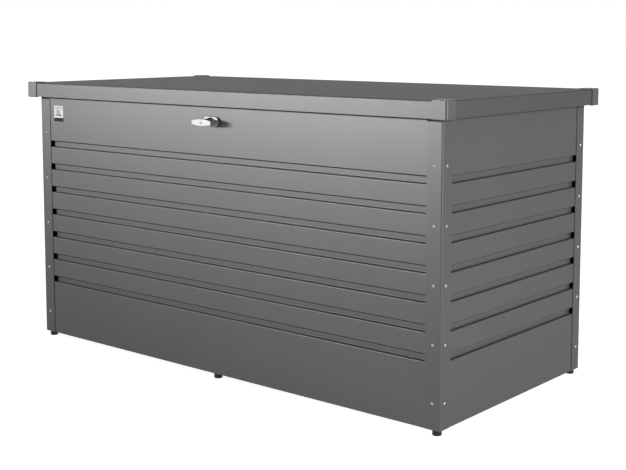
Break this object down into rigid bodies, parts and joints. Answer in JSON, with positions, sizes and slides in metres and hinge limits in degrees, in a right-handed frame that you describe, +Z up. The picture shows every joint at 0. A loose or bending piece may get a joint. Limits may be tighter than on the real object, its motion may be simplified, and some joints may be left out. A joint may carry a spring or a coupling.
{
  "type": "deck storage box",
  "caption": "Long outdoor storage box with grooved sheet walls on corner posts, a capped lift-up lid on rear hinges and gas springs, a turning lock handle and small feet.",
  "frame": {"origin": "on the ground under the middle of the body, at the undersides of the feet", "axes": "+X to the box's right seen from the front, the front and its handle face -Y, +Z up"},
  "size_m": [1.6, 0.7935, 0.8275],
  "materials": {
    "lid_sheet": "satin",
    "wall_sheet": "satin",
    "post_sheet": "satin",
    "cap_grey": "satin",
    "floor_sheet": "satin",
    "galvanised": "matte",
    "zinc": "satin",
    "zinc_screw": "satin",
    "foot_rubber": "matte",
    "bumper_rubber": "matte",
    "spring_black": "gloss",
    "spring_rod": "polished",
    "handle_chrome": "polished",
    "key_plug": "satin",
    "label": "matte"
  },
  "bodies": {
    "box": {"bar_guides": "galvanised", "body_hinge_leaf_center": "zinc", "body_hinge_leaf_left": "zinc", "body_hinge_leaf_right": "zinc", "corner_nuts": "zinc_screw", "corner_screws": "zinc_screw", "corner_stiffeners": "galvanised", "floor_beam_center": "galvanised", "floor_beam_left": "galvanised", "floor_beam_right": "galvanised", "floor_panel": "floor_sheet", "foot_front_center": "foot_rubber", "foot_front_left": "foot_rubber", "foot_front_right": "foot_rubber", "foot_rear_center": "foot_rubber", "foot_rear_left": "foot_rubber", "foot_rear_right": "foot_rubber", "foot_studs": "zinc_screw", "front_panel": "wall_sheet", "front_top_rail": "galvanised", "hinge_pins": "zinc", "label_plate": "label", "left_panel": "wall_sheet", "lid_bumpers": "bumper_rubber", "lock_case": "galvanised", "lock_rosette": "handle_chrome", "post_front_left": "post_sheet", "post_front_right": "post_sheet", "post_rear_left": "post_sheet", "post_rear_right": "post_sheet", "rear_panel": "wall_sheet", "rear_top_rail": "galvanised", "right_panel": "wall_sheet", "spring_foot_bracket_left": "zinc", "spring_foot_bracket_right": "zinc"},
    "lid": {"lid_cap_front_left": "cap_grey", "lid_cap_front_right": "cap_grey", "lid_cap_rear_left": "cap_grey", "lid_cap_rear_right": "cap_grey", "lid_hinge_leaf_center": "zinc", "lid_hinge_leaf_left": "zinc", "lid_hinge_leaf_right": "zinc", "lid_rail_front": "galvanised", "lid_rail_rear": "galvanised", "lid_shell": "lid_sheet", "spring_lid_bracket_left": "zinc", "spring_lid_bracket_right": "zinc", "striker_left": "zinc", "striker_right": "zinc"},
    "spring_left": {"gas_cylinder_left": "spring_black"},
    "spring_right": {"gas_cylinder_right": "spring_black"},
    "spring_rod_left": {"gas_rod_left": "spring_rod"},
    "spring_rod_right": {"gas_rod_right": "spring_rod"},
    "handle": {"t_handle": "handle_chrome", "lock_spindle": "zinc", "lock_pinion": "zinc"},
    "key": {"key_plug": "key_plug"},
    "bar_left": {"lock_bar_left": "zinc"},
    "bar_right": {"lock_bar_right": "zinc"}
  },
  "joints": [
    {"name": "lid_hinge", "type": "hinge", "parent": "box", "child": "lid", "pos_m": [0, 0.369, 0.787], "axis": [-1, 0, 0], "range_deg": [0, 80]},
    {"name": "spring_swing_left", "type": "hinge", "parent": "box", "child": "spring_left", "pos_m": [-0.74, 0.203, 0.5207], "axis": [-1, 0, 0], "range_deg": [0, 9.06]},
    {"name": "spring_stroke_left", "type": "slide", "parent": "spring_left", "child": "spring_rod_left", "axis": [0, 0.2722, 0.9622], "range_m": [0, 0.10007]},
    {"name": "spring_swing_right", "type": "hinge", "parent": "box", "child": "spring_right", "pos_m": [0.74, 0.203, 0.5207], "axis": [-1, 0, 0], "range_deg": [0, 9.06]},
    {"name": "spring_stroke_right", "type": "slide", "parent": "spring_right", "child": "spring_rod_right", "axis": [0, 0.2722, 0.9622], "range_m": [0, 0.10007]},
    {"name": "handle_turn", "type": "hinge", "parent": "box", "child": "handle", "pos_m": [0, -0.38, 0.736], "axis": [0, 1, 0], "range_deg": [0, 90]},
    {"name": "key_turn", "type": "hinge", "parent": "handle", "child": "key", "pos_m": [0, -0.4, 0.736], "axis": [0, 1, 0], "range_deg": [0, 90]},
    {"name": "bar_slide_right", "type": "slide", "parent": "box", "child": "bar_right", "axis": [1, 0, 0], "range_m": [0, 0.0284]},
    {"name": "bar_slide_left", "type": "slide", "parent": "box", "child": "bar_left", "axis": [-1, 0, 0], "range_m": [0, 0.0284]}
  ],
  "couplings": [
    {"joint": "spring_swing_left", "follows": "lid_hinge", "ratio": 0.11261},
    {"joint": "spring_stroke_left", "follows": "lid_hinge", "m_per_rad": 0.071599},
    {"joint": "bar_slide_left", "follows": "handle_turn", "m_per_rad": 0.018},
    {"joint": "spring_swing_right", "follows": "lid_hinge", "ratio": 0.11261},
    {"joint": "spring_stroke_right", "follows": "lid_hinge", "m_per_rad": 0.071599},
    {"joint": "bar_slide_right", "follows": "handle_turn", "m_per_rad": 0.018}
  ]
}
